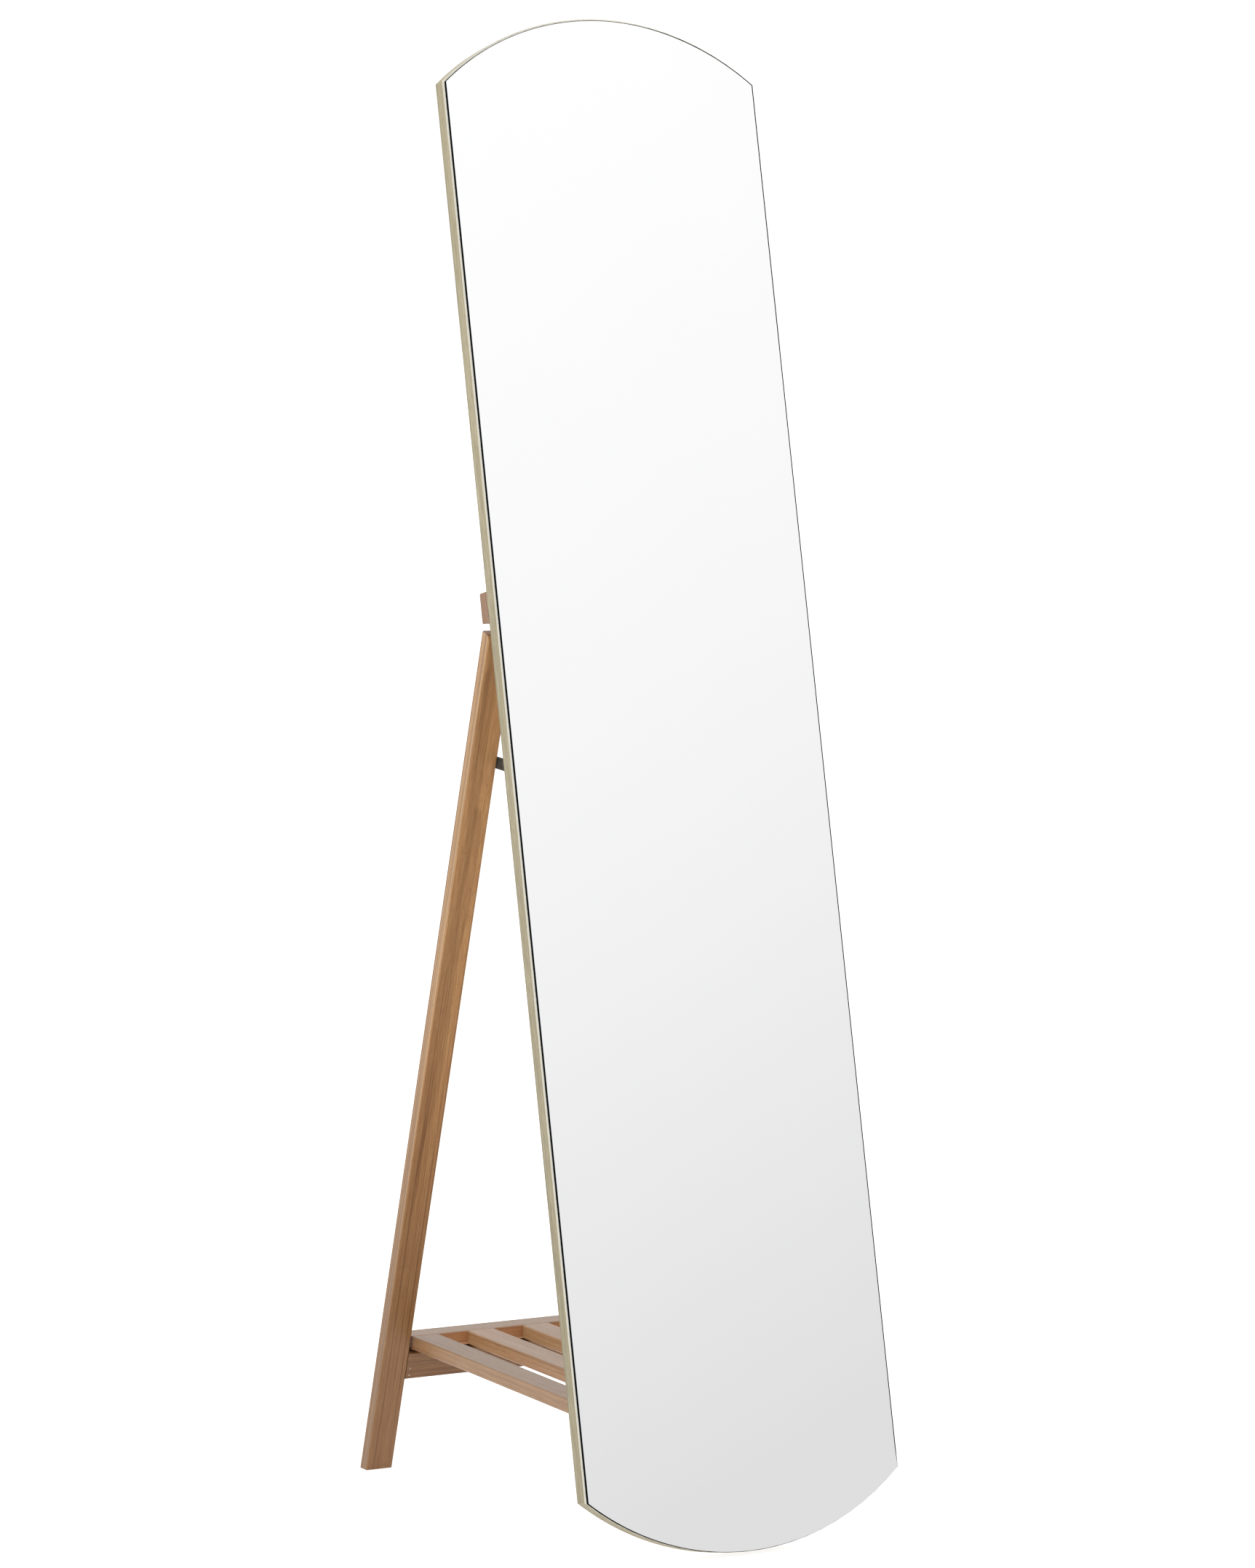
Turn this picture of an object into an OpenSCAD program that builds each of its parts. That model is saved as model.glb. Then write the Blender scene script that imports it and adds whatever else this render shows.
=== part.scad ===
// Frameless floor mirror with arched ends on a folding easel stand.
// The stand is a rear leg frame hinged under a batten on the mirror's back. Two
// folding stays hold it open, and a slatted shelf between the legs folds up.
// +X is to the viewer's right, the mirror faces -Y, +Z is up, and the floor is z = 0.

/* [Mirror panel] */
// Width of the backing panel
board_w = 350; // [300:1:450]
// Length of the straight sides, from shoulder to shoulder
straight_h = 1395; // [1300:5:1500]
// Rise of the arc at each end
arc_rise = 65; // [40:1:90]
// Thickness of the backing board
board_t = 15; // [12:1:22]
// Thickness of the veneer strips on the board's edges
band_t = 1; // [0.5:0.1:2]
// Margin of board left uncovered at the glass's sides and top
glass_lip = 2; // [1.5:0.5:5]
// Thickness of the mirror glass
glass_t = 3; // [3:0.5:5]
// Thickness of the adhesive strips behind the glass
glue_t = 0.5; // [0.3:0.1:1]
// Lean of the mirror away from upright, in degrees
lean = 12.6; // [11:0.1:14]

/* [Rear leg frame] */
// Width of each leg, seen from the front
leg_w = 29.5; // [26:0.5:34]
// Width of the battens and rails
batten_w = 30; // [26:1:34]
// Thickness of the legs, battens and rails
timber_t = 15; // [14:0.5:18]
// Angle between the opened leg frame and the mirror, in degrees
open_angle = 30.3; // [28:0.1:32]
// Height of the batten's lower edge above the mirror's bottom tip, along the panel
batten_v = 924; // [900:1:950]
// Radius of the rounded front corner at the top of each leg
leg_top_r = 5; // [3:0.5:6]

/* [Shelf] */
// Height of the shelf's top above the floor
shelf_z = 146; // [140:1:160]
// Thickness of the shelf's slats and rails
shelf_t = 14; // [12:1:16]
// Number of slats
slat_count = 5; // [4:1:6]
// Width of each slat
slat_w = 30; // [26:1:34]
// Clearance between the shelf and each leg
shelf_gap = 3; // [2.5:0.5:5]
// Clearance between the resting shelf and the lower rail
rest_gap = 0.2; // [0.1:0.1:0.5]

/* [Hinges] */
// Length of each hinge along its pin
hinge_len = 40; // [30:1:50]
// Thickness of the hinge leaves
leaf_t = 1.5; // [1.2:0.1:2]
// Height of each hinge leaf, measured from the pin
leaf_h = 22; // [20:1:24]
// Radius of the hinge knuckles
knuckle_r = 3; // [2.8:0.1:3.2]
// Radius of the hinge pins
pin_r = 1.5; // [1.2:0.1:1.6]
// Distance of each leg hinge from the middle
leg_hinge_x = 95; // [80:1:110]
// Distance of each shelf hinge from the middle
shelf_hinge_x = 90; // [86:1:94]

/* [Stays] */
// Width of the flat steel links
link_w = 12; // [10:1:14]
// Thickness of the links
link_t = 1.5; // [1.2:0.1:1.8]
// Distance of the stays' leg pivots below the leg hinges
stay_leg_drop = 140.5; // [135:0.5:142]
// Distance of the stays' board pivots below the leg hinges
stay_board_drop = 147; // [145:0.5:152]
// Radius of the stay's rivets and screws
rivet_r = 2; // [1.8:0.1:2.2]

/* [Hidden] */
$fn = 48;

SIDES = [-1, 1];
eps = 0.01;
ease = 1;                 // 45 degree easing on every long timber edge
run = 0.05;               // radial clearance of everything that turns
leaf_gap = 0.2;           // axial gap between hinge knuckles
fold_gap = 0.5;           // gap between folded legs and board
link_gap = 0.3;           // gap between parts that slide past each other
pin_off = knuckle_r + 0.3; // distance of every hinge pin from the face under its leaf
leaf_start = knuckle_r + 0.5; // distance of every leaf's plate from the pin

// Panel: u is across, w is back from the glass face, v is up from the bottom tip
panel_t = glass_t + glue_t + board_t;
panel_h = straight_h + 2 * arc_rise;
board_w0 = glass_t + glue_t;
glass_drop = glass_lip;   // the glass reaches down to the board's bottom edge
arc_r = (board_w * board_w / 4 + arc_rise * arc_rise) / (2 * arc_rise);

// Leg hinge axis in panel coordinates and in the world
top_gap = 5;              // gap between batten and leg tops, filled by the knuckles
hinge_w = panel_t + timber_t + pin_off;
hinge_v = batten_v - top_gap / 2;
tilt = open_angle - lean; // lean of the opened legs
function panel_y(w, v) = v * sin(lean) + w * cos(lean);
function panel_z(w, v) = v * cos(lean) - w * sin(lean) + panel_t * sin(lean);
hinge_y = panel_y(hinge_w, hinge_v);
hinge_z = panel_z(hinge_w, hinge_v);

// Leg frame: dw and dv are measured from the hinge axis with the frame folded flat
function frame_y(dw, dv) = hinge_y + dw * cos(tilt) - dv * sin(tilt);
function frame_z(dw, dv) = hinge_z + dw * sin(tilt) + dv * cos(tilt);
front_dw = fold_gap - timber_t - pin_off;
rear_dw = front_dw + timber_t;
leg_top_dv = -top_gap / 2;
foot_dv = -(hinge_z + front_dw * sin(tilt)) / cos(tilt);
foot_rear_dv = foot_dv - timber_t * tan(tilt);
rest_z = shelf_z - shelf_t - rest_gap;           // top of the lower rail
rail_top_dv = (rest_z - hinge_z - (rear_dw - ease) * sin(tilt)) / cos(tilt);

// The origin is under the middle of the object
y_front = panel_y(0, glass_lip - glass_drop);
y_back = frame_y(rear_dw, foot_rear_dv);
y_mid = (y_front + y_back) / 2;

// Shelf hinge axis, close behind the board and close above the shelf's top
shelf_axis_z = shelf_z + pin_off;
shelf_axis_w = panel_t + pin_off;
shelf_axis_v = (shelf_axis_z - panel_z(shelf_axis_w, 0)) / cos(lean);
shelf_axis_y = panel_y(shelf_axis_w, shelf_axis_v);
leg_front_dv = (shelf_z - hinge_z - front_dw * sin(tilt)) / cos(tilt);
rear_rail_set = 3;        // distance of the rear rail behind the legs' front faces
shelf_rail_y = frame_y(front_dw, leg_front_dv) + rear_rail_set;
shelf_front_y = shelf_axis_y + leaf_start;
shelf_x = board_w / 2 - leg_w - shelf_gap;
slat_pitch = (2 * shelf_x - slat_w) / (slat_count - 1);

// Stays: the links are straight when open and lie on each other when folded
leg_x = board_w / 2 - leg_w / 2;
inner_x = board_w / 2 - leg_w;
washer_t = 1.5;
ear_x = inner_x - washer_t - 2 * (link_t + link_gap); // outer face of the bracket's ear
ear_t = 1.5;
pivot_dw = front_dw + timber_t / 2;
pivot_leg_y = frame_y(pivot_dw, -stay_leg_drop);
pivot_leg_z = frame_z(pivot_dw, -stay_leg_drop);
pivot_board_y = panel_y(hinge_w + pivot_dw, hinge_v - stay_board_drop);
pivot_board_z = panel_z(hinge_w + pivot_dw, hinge_v - stay_board_drop);
stay_span_y = pivot_leg_y - pivot_board_y;
stay_span_z = pivot_leg_z - pivot_board_z;
stay_span = sqrt(stay_span_y * stay_span_y + stay_span_z * stay_span_z);
stay_slope = atan2(stay_span_z, stay_span_y);
leg_link_len = (stay_span - (stay_board_drop - stay_leg_drop)) / 2;
board_link_len = stay_span - leg_link_len;
rivet_head_r = 3.5;
rivet_head_h = 1;
washer_r = 4.5;
washer_play = 0.2;

// Screws
screw_r = 1.5;
screw_head_r = 3;
screw_head_h = 1.5;
screw_len = 12;
batten_screw_len = 26;
batten_screw_r = 2;
batten_screw_head_r = 4;
dowel_r = 3;
dowel_len = 40;
slat_dowel_r = 3;
slat_dowel_len = 30;
nail_r = 0.7;

// ---------- placement ----------
module in_world() {
  translate([0, -y_mid, 0]) children();
}

module on_panel() {
  in_world()
    translate([0, 0, panel_t * sin(lean)])
      rotate([-lean, 0, 0])
        children();
}

// Origin on the leg hinge axis, axes along the folded frame
module on_frame() {
  in_world()
    translate([0, hinge_y, hinge_z])
      rotate([tilt, 0, 0])
        children();
}

// Extrudes an outline drawn in u and v, from depth w0 to depth w1
module slab(w0, w1) {
  translate([0, w1, 0])
    rotate([90, 0, 0])
      linear_extrude(height = w1 - w0)
        children();
}

// ---------- shared shapes ----------
// Panel outline, drawn in from the board's edge by inset. Each arc is concentric with the
// board's own, and its cap reaches well into the straight part. drop lowers the bottom arc.
cap_overlap = 100;

module arch_cap(inset) {
  half_w = board_w / 2 - inset;
  intersection() {
    translate([0, arc_rise - arc_r]) circle(r = arc_r - inset, $fn = 240);
    translate([-half_w, -cap_overlap]) square([2 * half_w, cap_overlap + arc_rise]);
  }
}

module panel_outline(inset, drop = 0) {
  half_w = board_w / 2 - inset;
  translate([-half_w, arc_rise + cap_overlap / 2])
    square([2 * half_w, straight_h - cap_overlap]);
  translate([0, arc_rise + straight_h]) arch_cap(inset);
  translate([0, arc_rise - drop]) mirror([0, 1]) arch_cap(inset);
}

// Timber of size [x, y, z] from the origin corner, with eased edges along one axis
module eased_section(a, b) {
  polygon([
    [ease, 0], [a - ease, 0], [a, ease], [a, b - ease],
    [a - ease, b], [ease, b], [0, b - ease], [0, ease]
  ]);
}

module timber_z(size) {
  linear_extrude(height = size[2]) eased_section(size[0], size[1]);
}

module timber_x(size) {
  rotate([90, 0, 90])
    linear_extrude(height = size[0]) eased_section(size[1], size[2]);
}

module timber_y(size) {
  translate([0, size[1], 0])
    rotate([90, 0, 0])
      linear_extrude(height = size[1]) eased_section(size[0], size[2]);
}

// Countersunk cross-head screw: head flush at z = 0, shank down along -Z
module screw_body(r, head_r, len) {
  translate([0, 0, -(head_r - r)]) cylinder(r1 = r, r2 = head_r, h = head_r - r);
  translate([0, 0, -len]) cylinder(r = r, h = len - (head_r - r) + eps);
}

module screw(r, head_r, len) {
  slot_l = head_r * 1.1;
  slot_w = head_r * 0.22;
  slot_d = (head_r - r) * 0.6;
  difference() {
    screw_body(r, head_r, len);
    translate([-slot_l / 2, -slot_w / 2, -slot_d]) cube([slot_l, slot_w, slot_d + 1]);
    translate([-slot_w / 2, -slot_l / 2, -slot_d]) cube([slot_w, slot_l, slot_d + 1]);
  }
}

module small_screw() {
  screw(screw_r, screw_head_r, screw_len);
}

module small_screw_hole() {
  screw_body(screw_r, screw_head_r, screw_len);
}

module batten_screw_hole() {
  screw_body(batten_screw_r, batten_screw_head_r, batten_screw_len);
}

// ---------- hinges ----------
// Hinge frame: pin along X through the origin, screwed face at y = -pin_off, and the
// leaf runs along +Z. Odd knuckles are fixed and even ones move.
knuckles = 5;
knuckle_len = hinge_len / knuckles;
leaf_screw_x = 12;
leaf_screw_z = 14;

module leaf_screw_places() {
  for (s = SIDES)
    translate([s * leaf_screw_x, leaf_t - pin_off, leaf_screw_z])
      rotate([-90, 0, 0])
        children();
}

module knuckle(hole_r, set_back) {
  difference() {
    union() {
      cylinder(r = knuckle_r, h = knuckle_len - leaf_gap);
      translate([set_back - pin_off, 0, 0])
        cube([leaf_t, leaf_start + 1, knuckle_len - leaf_gap]);
    }
    translate([0, 0, -1]) cylinder(r = hole_r, h = knuckle_len + 2);
  }
}

// A leaf whose plate lies set_back further from the pin's own screwed face
module hinge_leaf(first, hole_r, set_back = 0) {
  difference() {
    translate([-hinge_len / 2, set_back - pin_off, leaf_start])
      cube([hinge_len, leaf_t, leaf_h - leaf_start]);
    translate([0, set_back, 0]) leaf_screw_places() small_screw_hole();
  }
  for (i = [first : 2 : knuckles - 1])
    translate([i * knuckle_len - hinge_len / 2 + leaf_gap / 2, 0, 0])
      rotate([90, 0, 90])
        knuckle(hole_r, set_back);
}

module hinge_pin() {
  translate([-hinge_len / 2, 0, 0])
    rotate([0, 90, 0])
      cylinder(r = pin_r, h = hinge_len);
}

// Leg hinges: the fixed leaf is screwed to the batten, the moving one to the top rail
module leg_hinge_fixed(side) {
  on_panel() translate([side * leg_hinge_x, hinge_w, hinge_v]) children();
}

module leg_hinge_moving(side) {
  on_frame() translate([side * leg_hinge_x, 0, 0]) mirror([0, 0, 1]) children();
}

// Shelf hinges: the fixed leaf is on the board above the shelf, the moving one on top of it
module shelf_hinge_fixed(side) {
  on_panel() translate([side * shelf_hinge_x, shelf_axis_w, shelf_axis_v]) children();
}

module shelf_hinge_moving(side) {
  in_world()
    translate([side * shelf_hinge_x, shelf_axis_y, shelf_axis_z])
      rotate([-90, 0, 0])
        mirror([0, 1, 0])
          children();
}

// ---------- mirror panel ----------
module backing_board() {
  color("wheat")
    difference() {
      on_panel() slab(board_w0, panel_t) panel_outline(band_t);
      batten_screw_places() batten_screw_hole();
      for (s = SIDES) {
        shelf_hinge_fixed(s) leaf_screw_places() small_screw_hole();
        bracket_screw_places(s) small_screw_hole();
      }
    }
}

module side_edge_band(side) {
  color("tan")
    on_panel()
      slab(board_w0, panel_t)
        translate([side > 0 ? board_w / 2 - band_t : -board_w / 2, arc_rise])
          square([band_t, straight_h]);
}

// The strip that follows one arc: dir is 1 at the top and -1 at the bottom
module end_edge_band(dir) {
  shoulder_v = arc_rise + (dir > 0 ? straight_h : 0);
  color("tan")
    on_panel()
      slab(board_w0, panel_t)
        translate([0, shoulder_v])
          mirror([0, dir > 0 ? 0 : 1])
            intersection() {
              translate([0, arc_rise - arc_r])
                difference() {
                  circle(r = arc_r, $fn = 240);
                  circle(r = arc_r - band_t, $fn = 240);
                }
              translate([-board_w, 0]) square([2 * board_w, 2 * arc_rise]);
            }
}

strip_count = 4;
strip_w = 25;
strip_margin = 60;

module adhesive_strips() {
  strip_pitch = (board_w - 2 * strip_margin) / (strip_count - 1);
  color("gray")
    on_panel()
      for (i = [0 : strip_count - 1])
        translate([
          i * strip_pitch - board_w / 2 + strip_margin - strip_w / 2,
          glass_t,
          arc_rise + strip_margin
        ])
          cube([strip_w, glue_t, straight_h - 2 * strip_margin]);
}

module mirror_glass() {
  color("silver") on_panel() slab(0, glass_t) panel_outline(glass_lip, glass_drop);
}

// ---------- batten ----------
batten_screw_xs = [-140, -45, 45, 140];

module batten_screw_places() {
  on_panel()
    for (x = batten_screw_xs)
      translate([x, panel_t + timber_t, batten_v + batten_w / 2])
        rotate([-90, 0, 0])
          children();
}

module rear_batten() {
  color("sienna")
    difference() {
      on_panel()
        translate([-board_w / 2, panel_t, batten_v])
          timber_x([board_w, timber_t, batten_w]);
      batten_screw_places() batten_screw_hole();
      for (s = SIDES)
        leg_hinge_fixed(s) leaf_screw_places() small_screw_hole();
    }
}

module batten_screws() {
  color("silver")
    batten_screw_places() screw(batten_screw_r, batten_screw_head_r, batten_screw_len);
}

// ---------- leg frame ----------
module leg_hinge_fixed_leaf(side) {
  color("dimgray") leg_hinge_fixed(side) hinge_leaf(0, pin_r);
}

module leg_hinge_pins() {
  color("silver") for (s = SIDES) leg_hinge_fixed(s) hinge_pin();
}

module leg_hinge_fixed_screws() {
  color("silver") for (s = SIDES) leg_hinge_fixed(s) leaf_screw_places() small_screw();
}

// The legs stand one fold gap off the board, so this leaf is joggled by that much
module leg_hinge_moving_leaf(side) {
  color("dimgray") leg_hinge_moving(side) hinge_leaf(1, pin_r + run, fold_gap);
}

module leg_moving_screw_places(side) {
  leg_hinge_moving(side) translate([0, fold_gap, 0]) leaf_screw_places() children();
}

module leg_hinge_moving_screws() {
  color("silver") for (s = SIDES) leg_moving_screw_places(s) small_screw();
}

dowel_offset = 7;

module rail_dowel_places(dv) {
  for (s = SIDES)
    for (t = SIDES)
      on_frame()
        translate([
          s * inner_x - dowel_len / 2,
          front_dw + timber_t / 2,
          dv + batten_w / 2 + t * dowel_offset
        ])
          rotate([0, 90, 0])
            children();
}

top_rail_dv = leg_top_dv - batten_w;
lower_rail_dv = rail_top_dv - batten_w;

module rail_dowel_set() {
  rail_dowel_places(top_rail_dv) cylinder(r = dowel_r, h = dowel_len);
  rail_dowel_places(lower_rail_dv) cylinder(r = dowel_r, h = dowel_len);
}

// Side view of a leg: rounded front corner at the top, foot cut at the bottom
module leg_profile() {
  difference() {
    polygon([
      [front_dw, foot_dv], [rear_dw, foot_rear_dv],
      [rear_dw, leg_top_dv], [front_dw, leg_top_dv]
    ]);
    difference() {
      translate([front_dw - 1, leg_top_dv - leg_top_r])
        square([leg_top_r + 1, leg_top_r + 1]);
      translate([front_dw + leg_top_r, leg_top_dv - leg_top_r]) circle(r = leg_top_r);
    }
  }
}

module leg(side) {
  color("saddlebrown")
    difference() {
      intersection() {
        on_frame()
          translate([side * leg_x - leg_w / 2, front_dw, foot_dv - timber_t])
            timber_z([leg_w, timber_t, leg_top_dv - foot_dv + timber_t]);
        on_frame()
          translate([side * leg_x - leg_w, 0, 0])
            rotate([90, 0, 90])
              linear_extrude(height = 2 * leg_w) leg_profile();
      }
      rail_dowel_set();
      stay_leg_place(side)
        translate([0, 0, -stay_screw_len])
          cylinder(r = rivet_r, h = stay_screw_len);
    }
}

module frame_rail(dv) {
  on_frame()
    translate([-inner_x, front_dw, dv])
      timber_x([2 * inner_x, timber_t, batten_w]);
}

module top_rail() {
  color("saddlebrown")
    difference() {
      frame_rail(top_rail_dv);
      rail_dowel_set();
      for (s = SIDES) leg_moving_screw_places(s) small_screw_hole();
    }
}

module lower_rail() {
  color("saddlebrown")
    difference() {
      frame_rail(lower_rail_dv);
      rail_dowel_set();
      nail_places() cylinder(r = nail_r, h = nail_len);
    }
}

module rail_dowels() {
  color("burlywood") rail_dowel_set();
}

nail_len = 6;
nail_inset = 4;
nail_heights = [4.5, 12.5];  // above the lower rail's bottom edge

module nail_places() {
  for (s = SIDES)
    for (h = nail_heights)
      on_frame()
        translate([s * (inner_x - nail_inset), front_dw, lower_rail_dv + h])
          rotate([-90, 0, 0])
            children();
}

module lower_rail_nails() {
  color("lightgray") nail_places() cylinder(r = nail_r, h = nail_len);
}

// ---------- shelf ----------
module shelf_hinge_fixed_leaf(side) {
  color("dimgray") shelf_hinge_fixed(side) hinge_leaf(0, pin_r);
}

module shelf_hinge_pins() {
  color("silver") for (s = SIDES) shelf_hinge_fixed(s) hinge_pin();
}

module shelf_hinge_fixed_screws() {
  color("silver") for (s = SIDES) shelf_hinge_fixed(s) leaf_screw_places() small_screw();
}

module shelf_hinge_moving_leaf(side) {
  color("dimgray") shelf_hinge_moving(side) hinge_leaf(1, pin_r + run);
}

module shelf_hinge_moving_screws() {
  color("silver") for (s = SIDES) shelf_hinge_moving(s) leaf_screw_places() small_screw();
}

module shelf_rail(y) {
  in_world()
    translate([-shelf_x, y, shelf_z - shelf_t])
      timber_x([2 * shelf_x, slat_w, shelf_t]);
}

function slat_left(i) = i * slat_pitch - shelf_x;

module slat_dowel_places(y) {
  for (i = [0 : slat_count - 1])
    in_world()
      translate([slat_left(i) + slat_w / 2, y - slat_dowel_len / 2, shelf_z - shelf_t / 2])
        rotate([-90, 0, 0])
          children();
}

module shelf_dowel_set() {
  slat_dowel_places(shelf_rail_y) cylinder(r = slat_dowel_r, h = slat_dowel_len);
  slat_dowel_places(shelf_front_y + slat_w) cylinder(r = slat_dowel_r, h = slat_dowel_len);
}

module shelf_rear_rail() {
  color("burlywood")
    difference() {
      shelf_rail(shelf_rail_y);
      shelf_dowel_set();
    }
}

module shelf_front_rail() {
  color("burlywood")
    difference() {
      shelf_rail(shelf_front_y);
      shelf_dowel_set();
      for (s = SIDES)
        shelf_hinge_moving(s) leaf_screw_places() small_screw_hole();
    }
}

module shelf_slat(i) {
  color("burlywood")
    difference() {
      in_world()
        translate([slat_left(i), shelf_front_y + slat_w, shelf_z - shelf_t])
          timber_y([slat_w, shelf_rail_y - shelf_front_y - slat_w, shelf_t]);
      shelf_dowel_set();
    }
}

module shelf_dowels() {
  color("tan") shelf_dowel_set();
}

// ---------- folding stays ----------
// Both pivots have Z pointing from the leg's inner face to the mirror's middle
module stay_leg_place(side) {
  on_frame()
    translate([side * inner_x, pivot_dw, -stay_leg_drop])
      rotate([0, -90 * side, 0])
        children();
}

module stay_board_place(side) {
  on_panel()
    translate([side * inner_x, hinge_w + pivot_dw, hinge_v - stay_board_drop])
      rotate([0, -90 * side, 0])
        children();
}

// A disc across the stay: depth in from the leg's inner face, reach along the straight
// stay from the leg pivot toward the board
module stay_disc(side, depth, reach, r, h) {
  in_world()
    translate([side * inner_x, pivot_leg_y, pivot_leg_z])
      rotate([stay_slope, 0, 0])
        translate([0, -reach, 0])
          rotate([0, -90 * side, 0])
            translate([0, 0, depth])
              cylinder(r = r, h = h);
}

module stay_bar(side, depth, reach, len) {
  in_world()
    translate([side * inner_x, pivot_leg_y, pivot_leg_z])
      rotate([stay_slope, 0, 0])
        translate([0, -reach - len, 0])
          rotate([0, -90 * side, 0])
            translate([-link_w / 2, 0, depth])
              cube([link_w, len, link_t]);
}

// Flat link with round ends, its leg-side hole of radius near_r and the other of far_r
module stay_link(side, depth, reach, len, near_r, far_r) {
  difference() {
    union() {
      stay_bar(side, depth, reach, len);
      stay_disc(side, depth, reach, link_w / 2, link_t);
      stay_disc(side, depth, reach + len, link_w / 2, link_t);
    }
    stay_disc(side, depth - 1, reach, near_r, link_t + 2);
    stay_disc(side, depth - 1, reach + len, far_r, link_t + 2);
  }
}

leg_link_depth = washer_t;
board_link_depth = leg_link_depth + link_t + link_gap;

module stay_leg_link(side) {
  color("black")
    stay_link(side, leg_link_depth, 0, leg_link_len, rivet_r + run, rivet_r);
}

module stay_board_link(side) {
  color("black")
    stay_link(side, board_link_depth, leg_link_len, board_link_len, rivet_r, rivet_r + run);
}

// Middle rivet in two halves, one held by each link, because the linkage opens there
module stay_rivet_head(side) {
  color("dimgray") {
    stay_disc(side, leg_link_depth - rivet_head_h, leg_link_len, rivet_head_r, rivet_head_h);
    stay_disc(side, leg_link_depth - eps, leg_link_len, rivet_r, link_t + eps);
  }
}

module stay_rivet_tail(side) {
  tail_depth = board_link_depth + link_t;
  color("dimgray") {
    stay_disc(side, board_link_depth, leg_link_len, rivet_r, link_t + eps);
    stay_disc(side, tail_depth, leg_link_len, rivet_head_r, rivet_head_h);
  }
}

// Screw through the washer and the link into the leg, its end flush with the link
stay_screw_len = 14;

module stay_leg_screws() {
  color("dimgray")
    for (s = SIDES)
      stay_leg_place(s)
        translate([0, 0, -stay_screw_len])
          cylinder(r = rivet_r, h = stay_screw_len + leg_link_depth + link_t);
}

module stay_leg_washers() {
  color("silver")
    for (s = SIDES)
      stay_leg_place(s)
        difference() {
          cylinder(r = washer_r, h = washer_t - washer_play);
          translate([0, 0, -1]) cylinder(r = rivet_r, h = washer_t + 2);
        }
}

// Angle bracket: an ear beside the link and a foot screwed to the board
bracket_foot_w = 26;
bracket_half = hinge_w + pivot_dw - panel_t;
bracket_screw_xs = [12, 21];
ear_depth = inner_x - ear_x;

module bracket_frame(side) {
  on_panel()
    translate([side * ear_x, panel_t, hinge_v - stay_board_drop])
      children();
}

module bracket_screw_places(side) {
  for (x = bracket_screw_xs)
    bracket_frame(side)
      translate([-side * x, ear_t, 0])
        rotate([-90, 0, 0])
          children();
}

module stay_bracket(side) {
  color("black")
    difference() {
      bracket_frame(side)
        translate([side > 0 ? -ear_t : 0, 0, 0])
          union() {
            translate([0, 0, -bracket_half])
              cube([ear_t, bracket_half, 2 * bracket_half]);
            translate([0, bracket_half, 0])
              rotate([0, 90, 0])
                cylinder(r = bracket_half, h = ear_t);
            translate([side > 0 ? ear_t - bracket_foot_w : 0, 0, -bracket_half])
              cube([bracket_foot_w, ear_t, 2 * bracket_half]);
          }
      stay_board_place(side)
        translate([0, 0, ear_depth - 1])
          cylinder(r = rivet_r, h = ear_t + 2);
      bracket_screw_places(side) small_screw_hole();
    }
}

// Rivet from the ear through the link, its outer end flush with the link
module stay_bracket_rivets() {
  rivet_len = ear_depth + ear_t - board_link_depth;
  color("dimgray")
    for (s = SIDES)
      stay_board_place(s)
        translate([0, 0, board_link_depth]) {
          cylinder(r = rivet_r, h = rivet_len + eps);
          translate([0, 0, rivet_len]) cylinder(r = rivet_head_r, h = rivet_head_h);
        }
}

module stay_bracket_screws() {
  color("silver") for (s = SIDES) bracket_screw_places(s) small_screw();
}

backing_board();
side_edge_band(-1);  // left_edge_band
side_edge_band(1);  // right_edge_band
end_edge_band(1);  // top_edge_band
end_edge_band(-1);  // bottom_edge_band
adhesive_strips();
mirror_glass();
rear_batten();
batten_screws();
leg_hinge_fixed_leaf(-1);  // left_leg_hinge_fixed_leaf
leg_hinge_fixed_leaf(1);  // right_leg_hinge_fixed_leaf
leg_hinge_pins();
leg_hinge_fixed_screws();
shelf_hinge_fixed_leaf(-1);  // left_shelf_hinge_fixed_leaf
shelf_hinge_fixed_leaf(1);  // right_shelf_hinge_fixed_leaf
shelf_hinge_pins();
shelf_hinge_fixed_screws();
stay_bracket(-1);  // left_stay_bracket
stay_bracket(1);  // right_stay_bracket
stay_bracket_rivets();
stay_bracket_screws();
leg(-1);  // left_leg
leg(1);  // right_leg
top_rail();
lower_rail();
rail_dowels();
lower_rail_nails();
leg_hinge_moving_leaf(-1);  // left_leg_hinge_moving_leaf
leg_hinge_moving_leaf(1);  // right_leg_hinge_moving_leaf
leg_hinge_moving_screws();
stay_leg_screws();
stay_leg_washers();
shelf_rear_rail();
shelf_front_rail();
shelf_slat(0);  // shelf_slat_1
shelf_slat(1);  // shelf_slat_2
shelf_slat(2);  // shelf_slat_3
shelf_slat(3);  // shelf_slat_4
shelf_slat(4);  // shelf_slat_5
shelf_dowels();
shelf_hinge_moving_leaf(-1);  // left_shelf_hinge_moving_leaf
shelf_hinge_moving_leaf(1);  // right_shelf_hinge_moving_leaf
shelf_hinge_moving_screws();
stay_leg_link(-1);  // left_stay_leg_link
stay_leg_link(1);  // right_stay_leg_link
stay_board_link(-1);  // left_stay_board_link
stay_board_link(1);  // right_stay_board_link
stay_rivet_head(-1);  // left_stay_rivet_head
stay_rivet_head(1);  // right_stay_rivet_head
stay_rivet_tail(-1);  // left_stay_rivet_tail
stay_rivet_tail(1);  // right_stay_rivet_tail
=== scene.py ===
import math

import bpy
from mathutils import Matrix, Vector

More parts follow.
